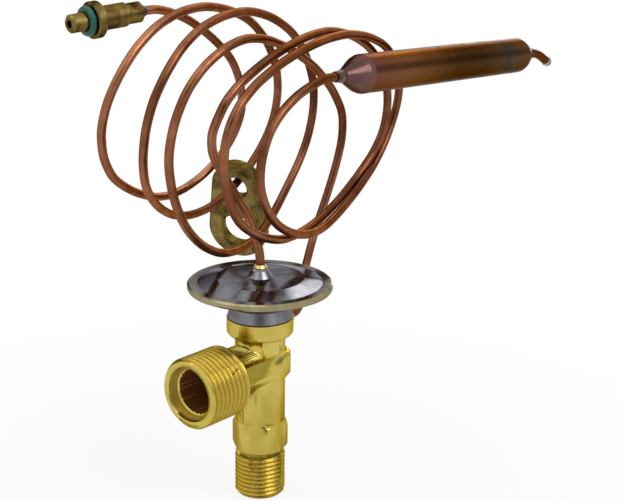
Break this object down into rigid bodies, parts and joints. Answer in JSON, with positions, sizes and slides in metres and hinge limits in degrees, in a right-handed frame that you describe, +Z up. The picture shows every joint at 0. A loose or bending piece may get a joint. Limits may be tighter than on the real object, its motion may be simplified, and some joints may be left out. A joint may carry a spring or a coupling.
{
  "type": "thermostatic expansion valve",
  "caption": "Angle thermostatic expansion valve with diaphragm head, capillary and sensing bulb, external equalizer line with plug-in fitting and loose clamp plate.",
  "frame": {"origin": "centre of the inlet stub's end face", "axes": "+Z up the inlet axis, through the stem and the diaphragm head; the outlet points along -X; +Y completes the right hand"},
  "size_m": [0.2056, 0.0908, 0.1542],
  "materials": {
    "forged_brass": "bright satin, forged and machined",
    "stained_brass": "dull, stained brown",
    "turned_brass": "turned",
    "housing_steel": "smooth, mirror-like, yellowish at the rim",
    "diaphragm_steel": "thin rolled sheet",
    "seat_steel": "ground",
    "spring_steel": "drawn wire",
    "copper_line": "annealed copper, darkened, satin",
    "bulb_copper": "copper with heat tints",
    "braze": "brazing fillet",
    "dark_braze": "oxidised brazing fillet",
    "solder": "grey solder, lumpy",
    "green_rubber": "matt green",
    "seal_ptfe": "smooth white",
    "gasket": "dark joint compound"
  },
  "bodies": {
    "valve": {"valve_body": "forged_brass", "valve_seat": "seat_steel", "stem_seal": "seal_ptfe", "seal_washer": "turned_brass", "inlet_strainer": "turned_brass", "element_gasket": "gasket", "lower_housing": "housing_steel", "diaphragm": "diaphragm_steel", "upper_housing": "housing_steel", "capillary_braze": "braze", "capillary_tube": "copper_line", "bulb_braze": "dark_braze", "sensing_bulb": "bulb_copper", "bulb_fill_tube": "copper_line", "fill_tube_solder": "solder", "equalizer_braze": "braze", "equalizer_tube": "copper_line", "fitting_braze": "dark_braze", "equalizer_fitting": "stained_brass", "equalizer_oring": "green_rubber", "clamp_plate": "stained_brass"},
    "stem": {"valve_stem": "seat_steel", "valve_ball": "seat_steel", "ball_carrier": "turned_brass", "diaphragm_pad": "turned_brass"},
    "spring_carriage": {"spring_seat": "turned_brass", "superheat_spring": "spring_steel"},
    "adjuster": {"adjusting_nut": "turned_brass"}
  },
  "joints": [
    {"name": "stem_slide", "type": "slide", "parent": "valve", "child": "stem", "axis": [0, 0, -1], "range_m": [0, 0.0008], "deforming": ["superheat_spring", "diaphragm"]},
    {"name": "seat_slide", "type": "slide", "parent": "valve", "child": "spring_carriage", "axis": [0, 0, 1], "range_m": [-0.0008, 0.0008], "deforming": ["superheat_spring"]},
    {"name": "adjuster_turn", "type": "hinge", "parent": "spring_carriage", "child": "adjuster", "pos_m": [0, 0, 0.0127], "axis": [0, 0, 1], "range_deg": [-360, 360]}
  ],
  "couplings": [
    {"joint": "adjuster_turn", "follows": "seat_slide", "rad_per_m": 7854}
  ]
}
